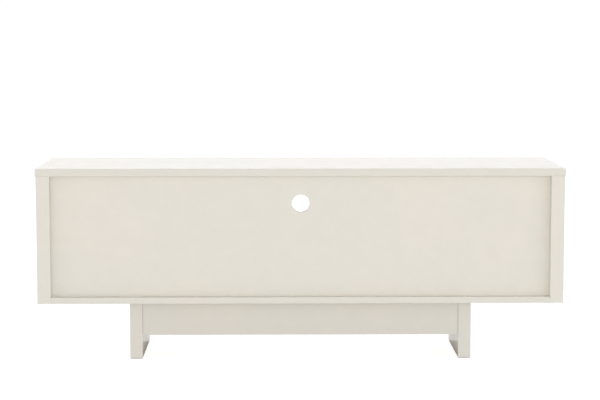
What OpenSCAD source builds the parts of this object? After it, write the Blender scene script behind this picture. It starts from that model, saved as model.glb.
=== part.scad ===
// Low TV stand: a long lacquered case on a slab-leg base.
// Two outer bays close with inset doors on pivot hinges; the middle bay is open.
// Origin: centre of the footprint, on the floor. +X along the width, front towards -Y, +Z up.
// Left and right are those of a person who faces the front, so left is -X.

/* [Case] */
// Overall width, across the top panel
top_w = 1500; // [1400:10:1700]
// Overall depth, across the top panel
top_d = 400; // [380:5:450]
// Thickness of the top panel
top_t = 22; // [18:1:30]
// Height of the case, from the bottom panel's underside to the top surface
case_h = 385; // [340:5:440]
// How far the top panel stands proud of the panels below it
top_lip = 2; // [0:0.5:4]
// Thickness of the two outer side panels
side_t = 38; // [30:1:45]
// Thickness of the bottom, dividers, shelves and doors
panel_t = 18; // [16:1:22]
// Thickness of the back panel
back_t = 12; // [9:1:15]
// How far the back panel sits in from the rear edges of the case
back_recess = 20; // [12:1:30]
// Depth of the grooves that hold the back panel
groove_depth = 6; // [4:0.5:8]
// Clear width of each door bay
door_bay_w = 460; // [400:5:500]

/* [Cable hole] */
// Diameter of the cable hole in the back panel
cable_d = 50; // [35:1:70]
// Distance from the top surface down to the centre of the cable hole
cable_drop = 101; // [80:1:120]

/* [Base] */
// Height of the base, from the floor to the case, glides included
base_h = 170; // [140:5:200]
// Thickness of the two slab legs
leg_t = 36; // [30:1:40]
// Depth of the slab legs, front to back
leg_d = 280; // [240:5:320]
// Distance across the outer faces of the legs
leg_span = 982; // [900:2:1040]
// Thickness of the rails between the legs
rail_t = 22; // [18:1:25]
// Height of the rails
rail_h = 101; // [90:1:110]
// How far the rails sit in from the ends of the legs
rail_inset = 3; // [1:1:20]
// Thickness of the glides under the legs
glide_t = 3; // [2:0.5:5]

/* [Doors] */
// How far the doors sit in from the front edges of the case
door_recess = 24; // [20:1:30]
// Gap at the two upright edges of a door
door_gap = 3; // [2.5:0.5:4]
// Gap above and below a door
door_end_gap = 3.5; // [3.4:0.1:4.5]
// Distance from a door's hinge edge to its pivot axis
pivot_inset = 20; // [16:1:24]
// Radius of the pivot pins
pin_r = 3; // [2.5:0.25:4]
// Radial running clearance between a pivot pin and its bush
pin_clearance = 0.05; // [0.02:0.01:0.1]
// Diameter of the door knobs
knob_d = 26; // [20:1:32]
// How far a knob stands out from its door
knob_l = 20; // [16:1:22]

/* [Shelves] */
// Distance from the back of a door to the front of the shelf behind it
shelf_setback = 30; // [25:1:50]
// Distance between neighbouring holes for the shelf pins
pin_pitch = 32; // [25:1:40]
// Radius of the shelf pins
shelf_pin_r = 2.5; // [2.5:0.25:3]

/* [Hidden] */
$fn = 48;

// Colours
lacquer = [0.90, 0.87, 0.82];
lacquer_shade = [0.85, 0.82, 0.77];
zinc = [0.72, 0.73, 0.75];
brass = [0.80, 0.66, 0.40];
beech = [0.82, 0.66, 0.46];
white_nylon = [0.93, 0.93, 0.91];
grey_felt = [0.55, 0.54, 0.52];
dark_magnet = [0.22, 0.22, 0.24];

// Levels
total_h = base_h + case_h;
top_z = total_h - top_t;
floor_z = base_h + panel_t;
bay_h = top_z - floor_z;
mid_z = floor_z + bay_h / 2;

// Across the width, as distances from the centre
side_out = top_w / 2 - top_lip;
side_in = side_out - side_t;
divider_out = side_in - door_bay_w;
divider_in = divider_out - panel_t;
divider_mid = (divider_out + divider_in) / 2;
leg_out = leg_span / 2;
leg_in = leg_out - leg_t;
leg_mid = (leg_out + leg_in) / 2;

// Front to back
case_d = top_d - 2 * top_lip;
case_y = case_d / 2;
back_out = case_y - back_recess;
back_in = back_out - back_t;
door_front = -case_y + door_recess;
door_back = door_front + panel_t;
rail_out = leg_d / 2 - rail_inset;
rail_in = rail_out - rail_t;

// Cable hole
cable_z = total_h - cable_drop;

// Doors and their pivots, for the left door
door_x0 = -side_in + door_gap;
door_x1 = -divider_out - door_gap;
door_z0 = floor_z + door_end_gap;
door_z1 = top_z - door_end_gap;
pivot_x = door_x0 + pivot_inset;
pivot_y = (door_front + door_back) / 2;
plate_t = 2;
plate_w = 16;
plate_tail = 44;
plate_screw_x = [24, 38];
pin_reach = 13;
pin_tip = 1;
pin_tip_taper = 0.8;
bush_r = 5;
bush_l = 16;
flange_r = 6.5;
flange_t = 1.2;

// Knobs
knob_inset = 40;
knob_x = door_x1 - knob_inset;
knob_r = knob_d / 2;
neck_r = 5.5;
foot_r = 7;
foot_t = 1.5;
foot_top = 2.5;
knob_head_t = 8;
knob_round = 2.5;
knob_thread_l = 10;
knob_screw_r = 2;
knob_hole_gap = 0.2;
knob_screw_head_r = 4;
knob_screw_head_t = 2.4;

// Magnetic catches, for the left door
catch_inset = 35;
catch_x = door_x1 - catch_inset;
catch_size = [42, 16, 13];
catch_gap = 0.3;
magnet_size = [26, 7, 7];
strike_size = [32, 1.5, 11];
strike_drop = 7.5;
strike_z = door_z1 - strike_drop;
catch_front = door_back + strike_size[1] + catch_gap;
catch_screw_x = 17;

// Shelves
shelf_gap = 1.5;
shelf_z = mid_z - panel_t / 2;
shelf_rear_gap = 6;
shelf_back = back_in - shelf_rear_gap;
shelf_front = door_back + shelf_setback;
middle_setback = 20;
middle_shelf_front = door_front + middle_setback;
shelf_pin_y = [-85, 125];
shelf_pin_z = shelf_z - shelf_pin_r;
shelf_pin_in = 8;
shelf_pin_out = 9;
collar_r = 4;
collar_t = 1;

// Cam fittings: a bolt in the face of one panel, and a lock in the panel that meets it
fitting_y = [-110, 110];
cam_bolt_in = 10;
cam_reach = 24;
cam_thread_r = 3.5;
cam_shank_r = 3;
cam_bore_r = 4;
cam_r = 7.5;
cam_depth = 12.5;
cam_axis = 9;
cam_ball_l = 3;
cam_ball_in = 2;
cam_slot_in = 3;
cam_cross = 9;

// Dowels
dowel_y = [-145, 145];
dowel_r = 4;
dowel_in = 10;
dowel_reach = 20;
rail_dowel_dz = 30;

// Wood screws, as [shank radius, head radius, head height], and their lengths
small_screw = [1.5, 3, 1.5];
plate_screw = [1.75, 3.4, 1.7];
long_screw = [3, 5, 3];
strike_screw_l = 12;
pivot_screw_l = 14;
catch_screw_l = 25;
divider_screw_l = 50;

// Cross recesses: their size as a share of the head's radius, and their slot as a share of that
recess_share = 1.2;
recess_slot = 0.2;

// Bolts through the bottom panel into the legs
bolt_y = [-95, 0, 95];
bolt_r = 3;
bolt_hole_r = 3.4;
bolt_head_r = 5.25;
bolt_head_t = 3.3;
hex_r = 2.3;
hex_depth = 2.3;
washer_r = 7;
washer_t = 1.2;
counterbore_r = 7.5;
counterbore_t = 6;
bolt_seat = floor_z - counterbore_t + washer_t;
bolt_reach = 22;
bolt_end = base_h - bolt_reach;
bolt_hole_tip = 2;
insert_r = 5;
insert_l = 16;
glide_inset = 1;

// A cut that starts on a face reaches this far past it
over = 1;

// Where each cam fitting of the left half goes: [joint point, tilt, spin].
// In the fitting's own axes the bolt points along +Z and the lock opens towards +X.
rail_axis = rail_in + cam_axis;
rail_z = base_h - rail_h / 2;
cam_places = concat(
    [for (y = fitting_y) [[-side_in - cam_axis, y, top_z], 0, 0]],
    [for (y = fitting_y) [[-divider_mid, y, top_z], 0, 180]],
    [for (y = fitting_y) [[-side_in, y, base_h + panel_t / 2], -90, 180]],
    [for (s = [-1, 1]) [[-leg_in, s * rail_axis, rail_z], -90, -90 * s]]
);
dowel_places = concat(
    [for (y = dowel_y) [[-side_in - side_t / 2, y, top_z], 0, 0]],
    [for (y = dowel_y) [[-divider_mid, y, top_z], 0, 0]],
    [for (y = dowel_y) [[-divider_mid, y, floor_z], 180, 0]],
    [for (y = dowel_y) [[-side_in, y, base_h + panel_t / 2], -90, 0]],
    [for (s = [-1, 1], e = [-1, 1]) [[-leg_in, s * rail_axis, rail_z + e * rail_dowel_dz], -90, 0]]
);

// ---- Placing ----

// Draws its children on the left and, mirrored, on the right.
module on_both_sides() {
    children();
    mirror([1, 0, 0]) children();
}

// Draws its children at each place of a list.
module at_places(places) {
    for (p = places)
        translate(p[0]) rotate([0, p[1], 0]) rotate([0, 0, p[2]]) children();
}

// A flat board between two corners.
module board(low, high) {
    translate(low) cube(high - low);
}

// A countersunk screw whose head is flush with z = 0 and whose shank runs down.
module wood_screw(kind, length) {
    translate([0, 0, -length]) cylinder(r = kind[0], h = length);
    translate([0, 0, -kind[2]]) cylinder(r1 = kind[0], r2 = kind[1], h = kind[2]);
}

// The cross cut in a head that is flush with z = 0.
module cross_recess(size) {
    slot = size * recess_slot;
    for (a = [0, 90])
        rotate([0, 0, a]) translate([-size / 2, -slot / 2, -slot]) cube([size, slot, slot + over]);
}

// The same screw with its cross recess.
module crossed_screw(kind, length) {
    difference() {
        wood_screw(kind, length);
        cross_recess(kind[1] * recess_share);
    }
}

// ---- Fittings, each about its own joint point ----

module cam_bolt() {
    cylinder(r = cam_thread_r, h = cam_bolt_in);
    translate([0, 0, -cam_reach]) cylinder(r = cam_shank_r, h = cam_reach);
    translate([0, 0, -cam_reach - cam_ball_in]) cylinder(r = cam_thread_r, h = cam_ball_l);
}

// The round body of a cam lock, grown out past the face of its panel.
module cam_body(grow) {
    translate([cam_axis - cam_depth, 0, -cam_reach]) rotate([0, 90, 0])
        cylinder(r = cam_r, h = cam_depth + grow);
}

module cam_lock() {
    difference() {
        cam_body(0);
        translate([0, 0, -cam_reach - cam_slot_in])
            cylinder(r = cam_bore_r, h = cam_slot_in + cam_r + over);
        translate([cam_axis, 0, -cam_reach]) rotate([0, 90, 0]) cross_recess(cam_cross);
    }
}

module cam_cut() {
    cylinder(r = cam_thread_r, h = cam_bolt_in);
    translate([0, 0, -cam_reach]) cylinder(r = cam_bore_r, h = cam_reach);
    cam_body(over);
}

module dowel() {
    translate([0, 0, -dowel_reach]) cylinder(r = dowel_r, h = dowel_reach + dowel_in);
}

// Everything that the fittings bore away from the panels.
module fitting_cuts() {
    on_both_sides() {
        at_places(cam_places) cam_cut();
        at_places(dowel_places) dowel();
    }
}

// ---- Case ----

// The back panel's full outline, edges inside the grooves included.
module back_outline() {
    board([-side_in - groove_depth, back_in, floor_z - groove_depth],
          [side_in + groove_depth, back_out, top_z + groove_depth]);
}

module top_panel() {
    color(lacquer) difference() {
        board([-top_w / 2, -top_d / 2, top_z], [top_w / 2, top_d / 2, total_h]);
        back_outline();
        fitting_cuts();
        at_pivot_screws() wood_screw(plate_screw, pivot_screw_l);
        at_catch_screws() wood_screw(plate_screw, catch_screw_l);
    }
}

module side_panel() {
    color(lacquer) difference() {
        board([-side_out, -case_y, base_h], [-side_in, case_y, top_z]);
        back_outline();
        fitting_cuts();
        shelf_pin_holes(-side_in, 1);
    }
}

module bottom_panel() {
    color(lacquer) difference() {
        board([-side_in, -case_y, base_h], [side_in, case_y, floor_z]);
        back_outline();
        fitting_cuts();
        at_divider_screws() wood_screw(long_screw, divider_screw_l);
        at_pivot_screws() wood_screw(plate_screw, pivot_screw_l);
        on_both_sides() for (y = bolt_y) translate([-leg_mid, y, 0]) {
            translate([0, 0, base_h - over]) cylinder(r = bolt_hole_r, h = panel_t + over);
            translate([0, 0, floor_z - counterbore_t])
                cylinder(r = counterbore_r, h = counterbore_t + over);
        }
    }
}

module back_panel() {
    color(lacquer) difference() {
        back_outline();
        translate([0, back_in - over, cable_z]) rotate([-90, 0, 0])
            cylinder(d = cable_d, h = back_t + 2 * over);
    }
}

module divider() {
    color(lacquer) difference() {
        board([-divider_out, door_front, floor_z], [-divider_in, back_in, top_z]);
        fitting_cuts();
        at_divider_screws() wood_screw(long_screw, divider_screw_l);
        shelf_pin_holes(-divider_out, -1);
        shelf_pin_holes(-divider_in, 1);
    }
}

// ---- Shelves ----

// The columns of holes in a face at x that looks along the X axis towards side.
module shelf_pin_holes(x, side) {
    for (y = shelf_pin_y, step = [-1, 0, 1])
        translate([x, y, shelf_pin_z + step * pin_pitch]) rotate([0, -90 * side, 0])
            translate([0, 0, -over]) cylinder(r = shelf_pin_r, h = shelf_pin_in + over);
}

// One shelf pin in a face at x that looks towards side.
module shelf_pin(x, y, side) {
    translate([x, y, shelf_pin_z]) rotate([0, 90 * side, 0]) {
        translate([0, 0, -shelf_pin_in]) cylinder(r = shelf_pin_r, h = shelf_pin_in + shelf_pin_out);
        cylinder(r = collar_r, h = collar_t);
    }
}

// The four pins of a bay between two faces.
module shelf_pins(x0, x1) {
    color(zinc) for (y = shelf_pin_y) {
        shelf_pin(x0, y, 1);
        shelf_pin(x1, y, -1);
    }
}

module shelf(x0, x1, front) {
    color(lacquer) board([x0 + shelf_gap, front, shelf_z], [x1 - shelf_gap, shelf_back, shelf_z + panel_t]);
}

// ---- Joinery ----

module dowels() {
    color(beech) on_both_sides() at_places(dowel_places) dowel();
}

module cam_bolts() {
    color(zinc) on_both_sides() at_places(cam_places) cam_bolt();
}

module cam_locks() {
    color(zinc) on_both_sides() at_places(cam_places) cam_lock();
}

// Places its children, heads down, where screws run up through the bottom panel into the dividers.
module at_divider_screws() {
    on_both_sides() for (y = fitting_y)
        translate([-divider_mid, y, base_h]) mirror([0, 0, 1]) children();
}

module divider_screws() {
    color(zinc) at_divider_screws() crossed_screw(long_screw, divider_screw_l);
}

// ---- Base ----

module leg() {
    color(lacquer_shade) difference() {
        board([-leg_out, -leg_d / 2, glide_t], [-leg_in, leg_d / 2, base_h]);
        fitting_cuts();
        for (y = bolt_y) translate([-leg_mid, y, 0]) {
            translate([0, 0, bolt_end - bolt_hole_tip]) cylinder(r = bolt_hole_r, h = base_h);
            translate([0, 0, base_h - insert_l]) cylinder(r = insert_r, h = insert_l + over);
        }
    }
}

module rear_rail() {
    color(lacquer_shade) difference() {
        board([-leg_in, rail_in, base_h - rail_h], [leg_in, rail_out, base_h]);
        fitting_cuts();
    }
}

module base_bolts() {
    color(zinc) on_both_sides() for (y = bolt_y) translate([-leg_mid, y, 0]) difference() {
        union() {
            translate([0, 0, bolt_end]) cylinder(r = bolt_r, h = bolt_seat - bolt_end);
            translate([0, 0, bolt_seat]) cylinder(r = bolt_head_r, h = bolt_head_t);
        }
        translate([0, 0, bolt_seat + bolt_head_t - hex_depth])
            cylinder(r = hex_r, h = hex_depth + over, $fn = 6);
    }
}

module base_washers() {
    color(zinc) on_both_sides() for (y = bolt_y)
        translate([-leg_mid, y, bolt_seat - washer_t]) difference() {
            cylinder(r = washer_r, h = washer_t);
            translate([0, 0, -over]) cylinder(r = bolt_hole_r, h = washer_t + 2 * over);
        }
}

module leg_inserts() {
    color(brass) on_both_sides() for (y = bolt_y)
        translate([-leg_mid, y, base_h - insert_l]) difference() {
            cylinder(r = insert_r, h = insert_l);
            translate([0, 0, -over]) cylinder(r = bolt_r, h = insert_l + 2 * over);
        }
}

module glide() {
    glide_y = leg_d / 2 - glide_inset;
    color(grey_felt)
        board([-leg_out + glide_inset, -glide_y, 0], [-leg_in - glide_inset, glide_y, glide_t]);
}

// ---- Pivot hinges ----

// Places its children at the left door's two pivots: on the bay floor, and under the top.
module at_pivots() {
    translate([pivot_x, pivot_y, floor_z]) children();
    translate([pivot_x, pivot_y, top_z]) mirror([0, 0, 1]) children();
}

module pivot_plates() {
    color(zinc) on_both_sides() at_pivots() difference() {
        union() {
            cylinder(d = plate_w, h = plate_t);
            translate([plate_tail, 0, 0]) cylinder(d = plate_w, h = plate_t);
            translate([0, -plate_w / 2, 0]) cube([plate_tail, plate_w, plate_t]);
        }
        translate([0, 0, -over]) cylinder(r = pin_r, h = plate_t + 2 * over);
        for (x = plate_screw_x) translate([x, 0, plate_t]) wood_screw(plate_screw, pivot_screw_l);
    }
}

module pivot_pins() {
    straight = door_end_gap + pin_reach - pin_tip;
    color(zinc) on_both_sides() at_pivots() {
        cylinder(r = pin_r, h = straight);
        translate([0, 0, straight]) cylinder(r1 = pin_r, r2 = pin_r - pin_tip_taper, h = pin_tip);
    }
}

module at_pivot_screws() {
    on_both_sides() at_pivots() for (x = plate_screw_x) translate([x, 0, plate_t]) children();
}

module pivot_screws() {
    color(zinc) at_pivot_screws() crossed_screw(plate_screw, pivot_screw_l);
}

module bushes() {
    color(white_nylon) at_pivots() translate([0, 0, door_end_gap]) difference() {
        union() {
            cylinder(r = bush_r, h = bush_l);
            translate([0, 0, -flange_t]) cylinder(r = flange_r, h = flange_t);
        }
        translate([0, 0, -flange_t - over])
            cylinder(r = pin_r + pin_clearance, h = bush_l + flange_t + 2 * over);
    }
}

// ---- Doors ----

module door() {
    color(lacquer) difference() {
        board([door_x0, door_front, door_z0], [door_x1, door_back, door_z1]);
        at_pivots() translate([0, 0, door_end_gap - over]) cylinder(r = bush_r, h = bush_l + over);
        translate([knob_x, door_front - over, mid_z]) rotate([-90, 0, 0])
            cylinder(r = knob_screw_r + knob_hole_gap, h = panel_t + 2 * over);
        at_strike_screw() wood_screw(small_screw, strike_screw_l);
    }
}

// Points of a quarter round of radius r about a centre, from one angle to another.
function round_corner(centre, r, from, to, steps = 6) =
    [for (i = [0:steps]) let (a = from + (to - from) * i / steps) centre + r * [cos(a), sin(a)]];

module knob() {
    head_z = knob_l - knob_head_t;
    outline = concat(
        [[0, 0], [foot_r, 0], [foot_r, foot_t], [neck_r, foot_top], [neck_r, head_z]],
        round_corner([knob_r - knob_round, head_z + knob_round], knob_round, -90, 0),
        round_corner([knob_r - knob_round, knob_l - knob_round], knob_round, 0, 90),
        [[0, knob_l]]
    );
    color(brass) translate([knob_x, door_front, mid_z]) rotate([90, 0, 0]) difference() {
        rotate_extrude() polygon(outline);
        translate([0, 0, -over]) cylinder(r = knob_screw_r, h = knob_thread_l + over);
    }
}

module knob_screw() {
    color(zinc) translate([knob_x, door_back, mid_z]) rotate([-90, 0, 0]) difference() {
        union() {
            cylinder(r = knob_screw_head_r, h = knob_screw_head_t);
            translate([0, 0, -panel_t - knob_thread_l])
                cylinder(r = knob_screw_r, h = panel_t + knob_thread_l);
        }
        translate([0, 0, knob_screw_head_t]) cross_recess(knob_screw_head_r);
    }
}

// The steel plate on the back of the door that the magnet pulls on.
module strike() {
    color(zinc) difference() {
        translate([catch_x - strike_size[0] / 2, door_back, strike_z - strike_size[2] / 2])
            cube(strike_size);
        at_strike_screw() wood_screw(small_screw, strike_screw_l);
    }
}

module at_strike_screw() {
    translate([catch_x, door_back + strike_size[1], strike_z]) rotate([-90, 0, 0]) children();
}

module strike_screw() {
    color(zinc) at_strike_screw() crossed_screw(small_screw, strike_screw_l);
}

// ---- Magnetic catches ----

// A magnet, let into the catch's front and grown forward for the pocket that it fills.
module magnet(grow) {
    translate([catch_x - magnet_size[0] / 2, catch_front - grow, strike_z - magnet_size[2] / 2])
        cube(magnet_size + [0, grow, 0]);
}

module catch() {
    color(white_nylon) difference() {
        translate([catch_x - catch_size[0] / 2, catch_front, top_z - catch_size[2]]) cube(catch_size);
        magnet(over);
        at_catch_screws() wood_screw(plate_screw, catch_screw_l);
    }
}

module catch_magnets() {
    color(dark_magnet) on_both_sides() magnet(0);
}

// Places its children, heads down, where screws run up through the catches into the top panel.
module at_catch_screws() {
    on_both_sides() for (s = [-1, 1])
        translate([catch_x + s * catch_screw_x, catch_front + catch_size[1] / 2, top_z - catch_size[2]])
            mirror([0, 0, 1]) children();
}

module catch_screws() {
    color(zinc) at_catch_screws() crossed_screw(plate_screw, catch_screw_l);
}

// ---- Nodes ----

top_panel();
side_panel();  // left_side
mirror([1, 0, 0]) side_panel();  // right_side
bottom_panel();
back_panel();
divider();  // left_divider
mirror([1, 0, 0]) divider();  // right_divider
shelf(-side_in, -divider_out, shelf_front);  // left_shelf
shelf(-divider_in, divider_in, middle_shelf_front);  // middle_shelf
shelf(divider_out, side_in, shelf_front);  // right_shelf
shelf_pins(-side_in, -divider_out);  // left_shelf_pins
shelf_pins(-divider_in, divider_in);  // middle_shelf_pins
shelf_pins(divider_out, side_in);  // right_shelf_pins
dowels();
cam_bolts();
cam_locks();
divider_screws();
leg();  // left_leg
mirror([1, 0, 0]) leg();  // right_leg
rear_rail();
mirror([0, 1, 0]) rear_rail();  // front_rail
base_bolts();
base_washers();
leg_inserts();
glide();  // left_glide
mirror([1, 0, 0]) glide();  // right_glide
pivot_plates();
pivot_pins();
pivot_screws();
catch();  // left_catch
mirror([1, 0, 0]) catch();  // right_catch
catch_magnets();
catch_screws();
door();  // left_door
bushes();  // left_bushes
knob();  // left_knob
knob_screw();  // left_knob_screw
strike();  // left_strike
strike_screw();  // left_strike_screw
mirror([1, 0, 0]) door();  // right_door
mirror([1, 0, 0]) bushes();  // right_bushes
mirror([1, 0, 0]) knob();  // right_knob
mirror([1, 0, 0]) knob_screw();  // right_knob_screw
mirror([1, 0, 0]) strike();  // right_strike
mirror([1, 0, 0]) strike_screw();  // right_strike_screw
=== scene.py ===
"""The looks of a low TV stand: a cream lacquered case with two doors, on a slab-leg base."""

import math

import bmesh
import bpy
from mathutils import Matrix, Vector


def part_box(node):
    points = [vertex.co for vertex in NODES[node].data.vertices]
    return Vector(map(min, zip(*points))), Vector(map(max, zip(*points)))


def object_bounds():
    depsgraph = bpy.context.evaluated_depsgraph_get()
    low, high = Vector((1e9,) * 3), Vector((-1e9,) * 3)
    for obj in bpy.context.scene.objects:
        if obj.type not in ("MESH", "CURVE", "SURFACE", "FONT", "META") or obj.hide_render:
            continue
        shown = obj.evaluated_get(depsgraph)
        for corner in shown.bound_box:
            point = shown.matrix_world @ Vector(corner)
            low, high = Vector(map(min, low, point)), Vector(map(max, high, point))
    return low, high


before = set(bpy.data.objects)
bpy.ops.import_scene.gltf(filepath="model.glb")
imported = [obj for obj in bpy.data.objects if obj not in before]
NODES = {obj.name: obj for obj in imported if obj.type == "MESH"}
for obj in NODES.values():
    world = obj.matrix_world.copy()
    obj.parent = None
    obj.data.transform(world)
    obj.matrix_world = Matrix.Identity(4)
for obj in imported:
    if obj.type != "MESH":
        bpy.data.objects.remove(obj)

cad_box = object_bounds()
low, high = cad_box
SIDES = ["left", "right"]

# ---- What is made of what ----


def pair(part):
    """The names of the left and the right piece of a kind."""
    return [side + "_" + part for side in SIDES]


# Each group of boards: its name, its tone as a share of the full cream, and its boards. A tone below
# 1.0 is painted shade: the legs and rails are darkened for the shade under the case, and the top and
# bottom panels slightly, to dim their lit rear edges.
BOARDS = [
    ("case", 1.0, [
        "back_panel", "middle_shelf",
        *pair("side"), *pair("divider"), *pair("shelf"), *pair("door"),
    ]),
    ("deck", 0.970, ["top_panel", "bottom_panel"]),
    ("leg", 0.905, pair("leg")),
    ("rail", 0.885, ["rear_rail", "front_rail"]),
]
ZINC_PARTS = [
    "middle_shelf_pins", "cam_bolts", "cam_locks", "divider_screws", "base_bolts", "base_washers",
    "pivot_plates", "pivot_pins", "pivot_screws", "catch_screws",
    *pair("shelf_pins"), *pair("knob_screw"), *pair("strike"), *pair("strike_screw"),
]
NYLON_PARTS = [*pair("bushes"), *pair("catch")]

# ---- Node graphs ----

# The Mix node's colour sockets, by place, because its number sockets have the same names.
MIX_FIRST = 6
MIX_SECOND = 7
MIX_RESULT = 2


class Surface:
    """A Principled material, with short calls for the node chains that feed it."""

    def __init__(self, name, **constants):
        self.material = bpy.data.materials.new(name)
        self.material.use_nodes = True
        self.tree = self.material.node_tree
        self.shader = self.tree.nodes["Principled BSDF"]
        self.place = self.add("ShaderNodeTexCoord").outputs["Object"]
        self.set(**constants)

    def add(self, kind, settings=None, **inputs):
        """A new node with these settings; underscores stand for the spaces in a socket's name."""
        node = self.tree.nodes.new(kind)
        for key, value in (settings or {}).items():
            setattr(node, key, value)
        for key, value in inputs.items():
            self.feed(node.inputs[key.replace("_", " ")], value)
        return node

    def feed(self, socket, value):
        """Links a node's output to a socket, or sets the socket itself to a constant."""
        if isinstance(value, bpy.types.NodeSocket):
            self.tree.links.new(value, socket)
        else:
            socket.default_value = value

    def set(self, **sockets):
        """Feeds the shader's own sockets, and returns the material."""
        for name, value in sockets.items():
            self.feed(self.shader.inputs[name.replace("_", " ")], value)
        return self.material

    def stretched(self, scale, centre=(0, 0, 0)):
        """Object coordinates about a centre, scaled by axis."""
        moved = self.add("ShaderNodeVectorMath", {"operation": "SUBTRACT"})
        self.feed(moved.inputs[0], self.place)
        self.feed(moved.inputs[1], centre)
        return self.add("ShaderNodeMapping", Vector=moved.outputs[0], Scale=scale).outputs["Vector"]

    def noise(self, scale=1.0, detail=2.0, roughness=0.5, place=None):
        """Noise from 0 to 1, with about scale waves a metre where its place isn't stretched."""
        node = self.add("ShaderNodeTexNoise", Scale=scale, Detail=detail, Roughness=roughness)
        self.feed(node.inputs["Vector"], place or self.place)
        return node.outputs["Fac"]

    def rings(self, scale, centre):
        """Uneven rings about the line through a centre along Y."""
        radius = self.add("ShaderNodeVectorMath", {"operation": "LENGTH"})
        self.feed(radius.inputs[0], self.stretched((1, 0, 1), centre))
        line = {"noise_dimensions": "1D"}
        node = self.add("ShaderNodeTexNoise", line, W=radius.outputs["Value"], Scale=scale)
        return node.outputs["Fac"]

    def remap(self, value, source, target):
        """Maps a value from one range to another, clamped."""
        node = self.add("ShaderNodeMapRange", Value=value)
        ends = ("From Min", "From Max", "To Min", "To Max")
        for name, end in zip(ends, (*source, *target)):
            node.inputs[name].default_value = end
        return node.outputs["Result"]

    def blend(self, share, first, second):
        """Two colours mixed by a share, from 0 for the first to 1 for the second."""
        node = self.add("ShaderNodeMix", {"data_type": "RGBA"})
        self.feed(node.inputs["Factor"], share)
        self.feed(node.inputs[MIX_FIRST], first)
        self.feed(node.inputs[MIX_SECOND], second)
        return node.outputs[MIX_RESULT]

    def math(self, operation, first, second):
        node = self.add("ShaderNodeMath", {"operation": operation})
        self.feed(node.inputs[0], first)
        self.feed(node.inputs[1], second)
        return node.outputs[0]

    def bump(self, height, depth, strength=1.0, below=None):
        """A bump of a real depth in metres, on top of another one."""
        node = self.add("ShaderNodeBump", Strength=strength, Distance=depth, Height=height)
        if below is not None:
            self.feed(node.inputs["Normal"], below)
        return node.outputs["Normal"]


def rgb(red, green, blue):
    return (red, green, blue, 1.0)


def grey(level):
    return rgb(level, level, level)


def shade(colour, share):
    """A colour darkened to a share of its strength."""
    return rgb(*(channel * share for channel in colour[:3]))


# ---- Materials ----

# Base colours. Where there are two, a noise mixes them.
CREAM = rgb(0.786, 0.738, 0.656)
CREAM_COOL = rgb(0.766, 0.738, 0.664)
PRIMER = rgb(0.700, 0.640, 0.545)
MDF = rgb(0.420, 0.300, 0.185)
ZINC = [rgb(0.46, 0.48, 0.51), rgb(0.60, 0.61, 0.61)]
BRASS = [rgb(0.62, 0.47, 0.27), rgb(0.72, 0.57, 0.35)]
NYLON = [rgb(0.80, 0.80, 0.77), rgb(0.86, 0.86, 0.84)]
FERRITE = [rgb(0.03, 0.03, 0.035), rgb(0.09, 0.09, 0.095)]
BEECH = [rgb(0.50, 0.33, 0.18), rgb(0.70, 0.52, 0.33)]
FELT = [rgb(0.42, 0.40, 0.37), rgb(0.66, 0.64, 0.60)]

# The ranges of a noise that hold nearly all of its values, and most of them.
BROAD = (0.3, 0.7)
MIDDLE = (0.35, 0.65)
# The shares that these are mapped to.
WHOLE = (0.0, 1.0)
HALF = (0.0, 0.5)

# The lacquer's darkest clouds and specks, as a share of its full tone.
CLOUDED = 0.95
# The values of a noise over which a worn edge goes from whole to rubbed.
RUBBED = (0.58, 0.70)
# The share of primer that shows in a rubbed patch, and the roughness that a full share would lose.
RUB_PRIMER = 0.55
RUB_POLISH = 0.1


def lacquer(name, tone, worn=False):
    """Sprayed satin lacquer, with drifts and clouds of tone, orange peel and grit.

    Worn is for edges, where the primer shows through in small rubbed patches."""
    s = Surface(name, IOR=1.48, Coat_Weight=0.42, Coat_Roughness=0.10)
    drift = s.remap(s.noise(scale=2.2), MIDDLE, WHOLE)
    cloud = s.noise(scale=24.0, detail=5.0, roughness=0.6)
    peel = s.noise(scale=330.0, detail=1.5)
    grit = s.noise(scale=700.0)
    # A tone below 1.0 darkens the cream as painted shade, given per group of boards.
    clean = s.blend(drift, shade(CREAM, tone), shade(CREAM_COOL, tone))
    dull = s.blend(drift, shade(CREAM, tone * CLOUDED), shade(CREAM_COOL, tone * CLOUDED))
    dimming = s.math("ADD", s.remap(cloud, BROAD, HALF), s.remap(grit, MIDDLE, HALF))
    colour = s.blend(dimming, clean, dull)
    rough = s.remap(cloud, BROAD, (0.32, 0.44))
    if worn:
        patches = s.noise(scale=70.0, detail=6.0, roughness=0.65)
        rub = s.remap(patches, RUBBED, (0.0, RUB_PRIMER))
        colour = s.blend(rub, colour, PRIMER)
        rough = s.math("SUBTRACT", rough, s.math("MULTIPLY", rub, RUB_POLISH))
    normal = s.bump(peel, depth=0.00016, strength=0.8)
    normal = s.bump(grit, depth=0.00003, strength=0.6, below=normal)
    return s.set(Base_Color=colour, Roughness=rough, Normal=normal)


def raw_board(name):
    """The fibrous inside of a lacquered board, seen in its bored holes."""
    s = Surface(name, IOR=1.4)
    fibres = s.noise(scale=900.0, detail=6.0, roughness=0.7)
    normal = s.bump(fibres, depth=0.0002, strength=0.6)
    return s.set(Base_Color=s.blend(fibres, MDF, PRIMER), Roughness=0.92, Normal=normal)


def zinc(name):
    """Bright zinc plate: slightly blue, with a cloudy passivated skin and fine rolling lines."""
    s = Surface(name, Metallic=1.0)
    cloud = s.noise(scale=160.0, detail=5.0, roughness=0.6)
    lines = s.noise(place=s.stretched((400, 6000, 6000)))
    rough = s.remap(cloud, BROAD, (0.28, 0.44))
    normal = s.bump(lines, depth=0.000006, strength=0.6)
    return s.set(Base_Color=s.blend(cloud, *ZINC), Roughness=rough, Normal=normal)


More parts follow.
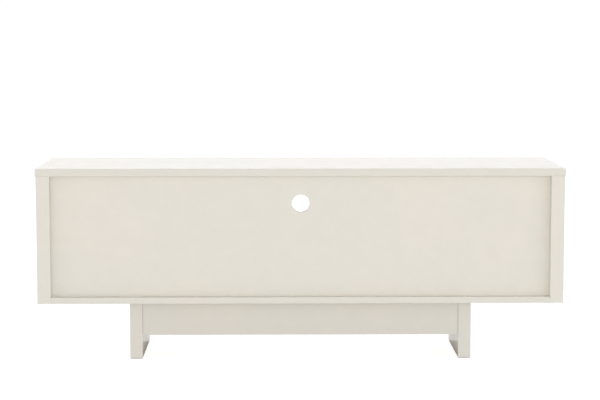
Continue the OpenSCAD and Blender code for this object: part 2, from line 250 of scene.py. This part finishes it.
def brass(name, centre=None):
    """Satin brass; about a centre, it has the fine rings that turning and lapping leave."""
    s = Surface(name, Metallic=1.0)
    cloud = s.noise(scale=90.0, detail=4.0, roughness=0.6)
    rough = s.remap(cloud, BROAD, (0.26, 0.36))
    if centre is None:
        normal = s.bump(s.noise(scale=5000.0), depth=0.000005)
    else:
        normal = s.bump(s.rings(4200.0, centre), depth=0.00003, strength=0.9)
    return s.set(Base_Color=s.blend(cloud, *BRASS), Roughness=rough, Normal=normal)


def nylon(name):
    """Moulded white nylon, with a faint spark-eroded grain."""
    s = Surface(name, IOR=1.53, Subsurface_Weight=0.15, Subsurface_Scale=0.002)
    cloud = s.noise(scale=120.0, detail=3.0)
    grain = s.noise(scale=2800.0, detail=3.0, roughness=0.7)
    rough = s.remap(cloud, BROAD, (0.38, 0.5))
    normal = s.bump(grain, depth=0.00002, strength=0.6)
    return s.set(Base_Color=s.blend(cloud, *NYLON), Roughness=rough, Normal=normal)


def ferrite(name):
    """A dark pressed magnet with a granular face."""
    s = Surface(name, IOR=1.9)
    grains = s.noise(scale=2200.0, detail=5.0, roughness=0.7)
    rough = s.remap(grains, BROAD, (0.45, 0.7))
    normal = s.bump(grains, depth=0.00003, strength=0.6)
    return s.set(Base_Color=s.blend(grains, *FERRITE), Roughness=rough, Normal=normal)


def beech(name):
    """Pale turned beech with short dark rays."""
    s = Surface(name, IOR=1.5)
    rays = s.noise(detail=5.0, roughness=0.65, place=s.stretched((500, 500, 60)))
    normal = s.bump(rays, depth=0.00005, strength=0.6)
    return s.set(Base_Color=s.blend(rays, *BEECH), Roughness=0.6, Normal=normal)


def felt(name):
    """Pressed wool felt: tangled fibres in several greys."""
    s = Surface(name, Sheen_Weight=0.5, Sheen_Roughness=0.6)
    along = s.noise(detail=4.0, roughness=0.7, place=s.stretched((300, 2600, 2600)))
    across = s.noise(detail=4.0, roughness=0.7, place=s.stretched((2600, 300, 2600)))
    fibres = s.math("MAXIMUM", along, across)
    colour = s.blend(s.remap(fibres, (0.4, 0.75), WHOLE), *FELT)
    normal = s.bump(fibres, depth=0.0003, strength=0.8)
    return s.set(Base_Color=colour, Roughness=0.95, Normal=normal)


def dress(piece, *materials):
    """Gives a piece these materials, one slot each."""
    piece.data.materials.clear()
    for material in materials:
        piece.data.materials.append(material)


# ---- Edges ----

# Points closer than this, in metres, are one point.
MERGE = 1e-6
# The digits after the point, in metres, by which points of two meshes are matched.
MATCH_DIGITS = 5
# Faces that meet at more than SHARP have a sharp edge, and faces at less than FLAT become one.
SHARP = math.radians(30)
FLAT = math.radians(0.5)
# How many strips make a rounded edge.
ROUND_STEPS = 3


def end_points(edge_verts):
    """The two ends of an edge in either order, rounded so that edges of two meshes match."""
    return frozenset(tuple(round(c, MATCH_DIGITS) for c in v.co) for v in edge_verts)


def on_outline(edge, corners):
    """Whether an edge runs along an edge of the box between these corners, where two faces meet."""
    middle = (edge.verts[0].co + edge.verts[1].co) / 2
    on_faces = [min(abs(c - a), abs(c - b)) < MERGE for c, a, b in zip(middle, *corners)]
    return sum(on_faces) >= 2


def sharp_edges(mesh, shortest, outline):
    """End points of the sharp edges, and of those to ease.

    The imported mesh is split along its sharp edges, so a merged copy is read."""
    merged = bmesh.new()
    merged.from_mesh(mesh)
    bmesh.ops.remove_doubles(merged, verts=merged.verts, dist=MERGE)
    columns = list(zip(*(v.co for v in merged.verts)))
    corners = [min(c) for c in columns], [max(c) for c in columns]
    sharp = set()
    eased = set()
    for edge in merged.edges:
        if len(edge.link_faces) == 2 and edge.calc_face_angle() > SHARP:
            ends = end_points(edge.verts)
            sharp.add(ends)
            if edge.calc_length() >= shortest and (not outline or on_outline(edge, corners)):
                eased.add(ends)
    merged.free()
    return sharp, eased


def ease_edges(piece, radius, shortest=0.0, outline=False, edge_slot=-1):
    """Rounds the sharp edges that are no shorter than shortest.

    Modifiers do this, so the CAD mesh keeps its own points. With outline, only the edges of the
    piece's own box are rounded, so its grooves stay crisp. The rounded strips take the material in
    edge_slot, or with -1 that of the faces beside them."""
    mesh = piece.data
    sharp, eased = sharp_edges(mesh, shortest, outline)
    if "custom_normal" in mesh.attributes:
        mesh.attributes.remove(mesh.attributes["custom_normal"])
    ends = [end_points([mesh.vertices[i] for i in edge.vertices]) for edge in mesh.edges]
    for edge, points in zip(mesh.edges, ends):
        edge.use_edge_sharp = points in sharp
    weights = mesh.attributes.new("bevel_weight_edge", "FLOAT", "EDGE")
    weights.data.foreach_set("value", [float(points in eased) for points in ends])
    for face in mesh.polygons:
        face.use_smooth = True
    weld = piece.modifiers.new("weld", "WELD")
    weld.merge_threshold = MERGE
    flatten = piece.modifiers.new("flatten", "DECIMATE")
    flatten.decimate_type = "DISSOLVE"
    flatten.angle_limit = FLAT
    bevel = piece.modifiers.new("ease", "BEVEL")
    bevel.limit_method = "WEIGHT"
    bevel.width = radius
    bevel.segments = ROUND_STEPS
    bevel.loop_slide = False
    bevel.harden_normals = True
    bevel.material = edge_slot


# ---- The boards ----

# The radius that eases a board's outline, and the shortest edge of it that is eased.
BOARD_EDGE = 0.0008
TOP_EDGE = 0.0018
LONG_EDGE = 0.012
# The same for the back panel, where it takes in the short steps of the cable hole's rim.
BACK_EDGE = 0.0006
RIM_STEP = 0.003

# A board's material slots, after the first, which is its lacquer.
EDGE_SLOT = 1
BORE_SLOT = 2
# A face is square to an axis when its unit normal is at least this long along it.
SQUARE = 0.9999


def mark_bores(piece, slot):
    """Gives a slot to the faces that are square to no axis: the walls of bored holes."""
    for face in piece.data.polygons:
        if max(abs(c) for c in face.normal) < SQUARE:
            face.material_index = slot


board_core = raw_board("board_core")
for group, tone, names in BOARDS:
    skin = lacquer(group + "_lacquer", tone)
    edge = lacquer(group + "_lacquer_edge", tone, worn=True)
    for name in names:
        board = NODES[name]
        dress(board, skin, edge, board_core)
        mark_bores(board, BORE_SLOT)
        if name == "back_panel":
            ease_edges(board, BACK_EDGE, RIM_STEP, edge_slot=EDGE_SLOT)
        else:
            radius = TOP_EDGE if name == "top_panel" else BOARD_EDGE
            ease_edges(board, radius, LONG_EDGE, outline=True, edge_slot=EDGE_SLOT)

# ---- Hardware ----

# The radius that eases the edges of small parts, and the parts.
FINE_EDGES = [
    (0.00015, [
        "pivot_screws", "catch_screws", "divider_screws", "cam_locks",
        *pair("knob_screw"), *pair("strike_screw"),
    ]),
    (0.0002, [
        "base_bolts", "base_washers", "catch_magnets", "middle_shelf_pins",
        *pair("shelf_pins"), *pair("bushes"),
    ]),
    (0.00025, pair("strike")),
    (0.0003, ["pivot_plates"]),
    (0.0006, [*pair("catch"), *pair("glide")]),
]

zinc_plate = zinc("zinc_plate")
white_nylon = nylon("white_nylon")
for name in ZINC_PARTS:
    dress(NODES[name], zinc_plate)
for name in NYLON_PARTS:
    dress(NODES[name], white_nylon)
for name in pair("knob"):
    knob_low, knob_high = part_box(name)
    dress(NODES[name], brass(name + "_brass", (knob_low + knob_high) / 2))
for name in pair("glide"):
    dress(NODES[name], felt(name + "_felt"))
dress(NODES["catch_magnets"], ferrite("magnet_ferrite"))
dress(NODES["leg_inserts"], brass("insert_brass"))
dress(NODES["dowels"], beech("dowel_beech"))
for radius, names in FINE_EDGES:
    for name in names:
        ease_edges(NODES[name], radius)

# ---- Floor and shade ----

# The floor reaches nearly to the horizon, and lies just below the stand so the two don't flicker.
FLOOR_SIZE = 400.0
FLOOR_DROP = 0.0002
# It shines by itself, and its dim paper adds the lamps' light, which brings it to white.
FLOOR_GLOW = 0.86
PAPER = [grey(0.29), grey(0.31)]

# The dark strips lie lower still.
SHADE_DROP = 0.0010
SHADE_WIDTH = 0.035
# The strips' colour is painted shadow: the dark of a contact shadow on a real floor.
SHADOW_STRIP_TONES = [rgb(0.28, 0.23, 0.19), rgb(0.34, 0.28, 0.23)]


def flat_card(name, x_range, y_range, level):
    """A level card between these limits, with no material yet."""
    (x0, x1), (y0, y1) = x_range, y_range
    corners = [(x0, y0, level), (x1, y0, level), (x1, y1, level), (x0, y1, level)]
    mesh = bpy.data.meshes.new(name)
    mesh.from_pydata(corners, [], [(0, 1, 2, 3)])
    card = bpy.data.objects.new(name, mesh)
    bpy.context.collection.objects.link(card)
    return card


def pale_floor():
    """A white paper floor that only the camera sees, so the light around the stand stays even."""
    reach = (-FLOOR_SIZE / 2, FLOOR_SIZE / 2)
    floor = flat_card("floor", reach, reach, low.z - FLOOR_DROP)
    floor.visible_diffuse = False
    floor.visible_glossy = False
    floor.visible_shadow = False
    s = Surface("floor_paper", Roughness=0.9, Emission_Color=grey(1.0), Emission_Strength=FLOOR_GLOW)
    paper = s.blend(s.noise(scale=3.0, detail=3.0), *PAPER)
    dress(floor, s.set(Base_Color=paper))


def shade_strip(side):
    """A dark strip along the inner foot of a leg, off camera: the contact shadow on a real floor."""
    leg_low, leg_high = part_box(side + "_leg")
    inner = min(abs(leg_low.x), abs(leg_high.x))
    outward = math.copysign(1.0, leg_low.x)
    x_range = sorted((outward * inner, outward * (inner - SHADE_WIDTH)))
    card = flat_card(side + "_shade_strip", x_range, (leg_low.y, leg_high.y), low.z - SHADE_DROP)
    card.visible_camera = False
    # Painted shadow: a dark colour, finely speckled, for the floor's contact shadow beside the leg.
    s = Surface(side + "_painted_shadow", Roughness=1.0)
    fibres = s.blend(s.noise(scale=900.0, detail=3.0), *SHADOW_STRIP_TONES)
    dress(card, s.set(Base_Color=fibres))


pale_floor()
for side in SIDES:
    shade_strip(side)

# ---- Light ----

# The surround's strength by the sine of the elevation: white about the horizon, dimmer above
# and below.
SURROUND = [(-0.30, 0.70), (-0.05, 1.03), (0.20, 1.03), (0.60, 0.50)]

# The soft lamps: name, place, width and height, power in watts, and whether gloss reflects them.
LAMPS = [
    ("overhead", (0.0, -0.8, 3.2), (4.0, 3.0), 24.0, True),
    ("rear_wash", (0.0, 5.6, 0.7), (5.0, 1.6), 56.0, False),
    ("rear_right", (4.2, 2.2, 0.6), (2.5, 1.6), 13.0, True),
    ("rear_left", (-4.2, 2.2, 0.6), (2.5, 1.6), 25.0, True),
    ("front_key", (-0.2, -4.2, 2.3), (5.2, 1.8), 41.0, True),
    ("front_fill", (2.8, -3.6, 0.9), (2.4, 1.4), 30.0, False),
]


def turn_to(direction):
    """The turn of an upright lamp or camera that looks along a direction."""
    return direction.to_track_quat("-Z", "Y").to_euler()


def softbox(name, place, size, power, in_gloss):
    """A rectangular lamp that faces the middle of the stand and stays out of the picture."""
    light = bpy.data.lights.new(name, "AREA")
    light.shape = "RECTANGLE"
    light.size, light.size_y = size
    light.energy = power
    lamp = bpy.data.objects.new(name, light)
    lamp.location = place
    lamp.rotation_euler = turn_to((low + high) / 2 - Vector(place))
    lamp.visible_camera = False
    lamp.visible_glossy = in_gloss
    bpy.context.collection.objects.link(lamp)


def cyclorama(stops):
    """A white world whose strength goes by the sine of the elevation, through these stops."""
    world = bpy.data.worlds.new("studio")
    world.use_nodes = True
    nodes = world.node_tree.nodes
    links = world.node_tree.links
    split = nodes.new("ShaderNodeSeparateXYZ")
    links.new(nodes.new("ShaderNodeTexCoord").outputs["Generated"], split.inputs[0])
    # The sine runs from -1 to 1, and the ramp from 0 to 1.
    share = nodes.new("ShaderNodeMapRange")
    share.inputs["From Min"].default_value = -1.0
    links.new(split.outputs["Z"], share.inputs["Value"])
    ramp = nodes.new("ShaderNodeValToRGB")
    links.new(share.outputs["Result"], ramp.inputs["Fac"])
    knots = ramp.color_ramp.elements
    # A new knot may start anywhere, because each one is placed below.
    while len(knots) < len(stops):
        knots.new(0.5)
    for knot, (sine, strength) in zip(knots, stops):
        knot.position = (sine + 1) / 2
        knot.color = grey(strength)
    links.new(ramp.outputs["Color"], nodes["Background"].inputs["Color"])
    bpy.context.scene.world = world


cyclorama(SURROUND)
for name, place, size, power, in_gloss in LAMPS:
    softbox(name, place, size, power, in_gloss)

# ---- Camera ----

# It stands behind the stand and above it, near its middle, and looks slightly down. BACK is in
# metres from the stand's back, SIDE from its middle and HEIGHT from the floor; LENS and
# SENSOR_WIDTH are in millimetres.
CAMERA_BACK = 4.859
CAMERA_SIDE = 0.0713
CAMERA_HEIGHT = 0.9708
CAMERA_YAW = math.radians(0.811)
CAMERA_PITCH = math.radians(5.928)
CAMERA_LENS = 103.76
SENSOR_WIDTH = 36.0

lens = bpy.data.cameras.new("camera")
lens.lens = CAMERA_LENS
lens.sensor_width = SENSOR_WIDTH
camera = bpy.data.objects.new("camera", lens)
camera.location = (CAMERA_SIDE, high.y + CAMERA_BACK, CAMERA_HEIGHT)
camera.rotation_euler = turn_to(Vector((
    -math.sin(CAMERA_YAW) * math.cos(CAMERA_PITCH),
    -math.cos(CAMERA_YAW) * math.cos(CAMERA_PITCH),
    -math.sin(CAMERA_PITCH),
)))
bpy.context.collection.objects.link(camera)
bpy.context.scene.camera = camera
bpy.context.scene.view_settings.view_transform = "Standard"
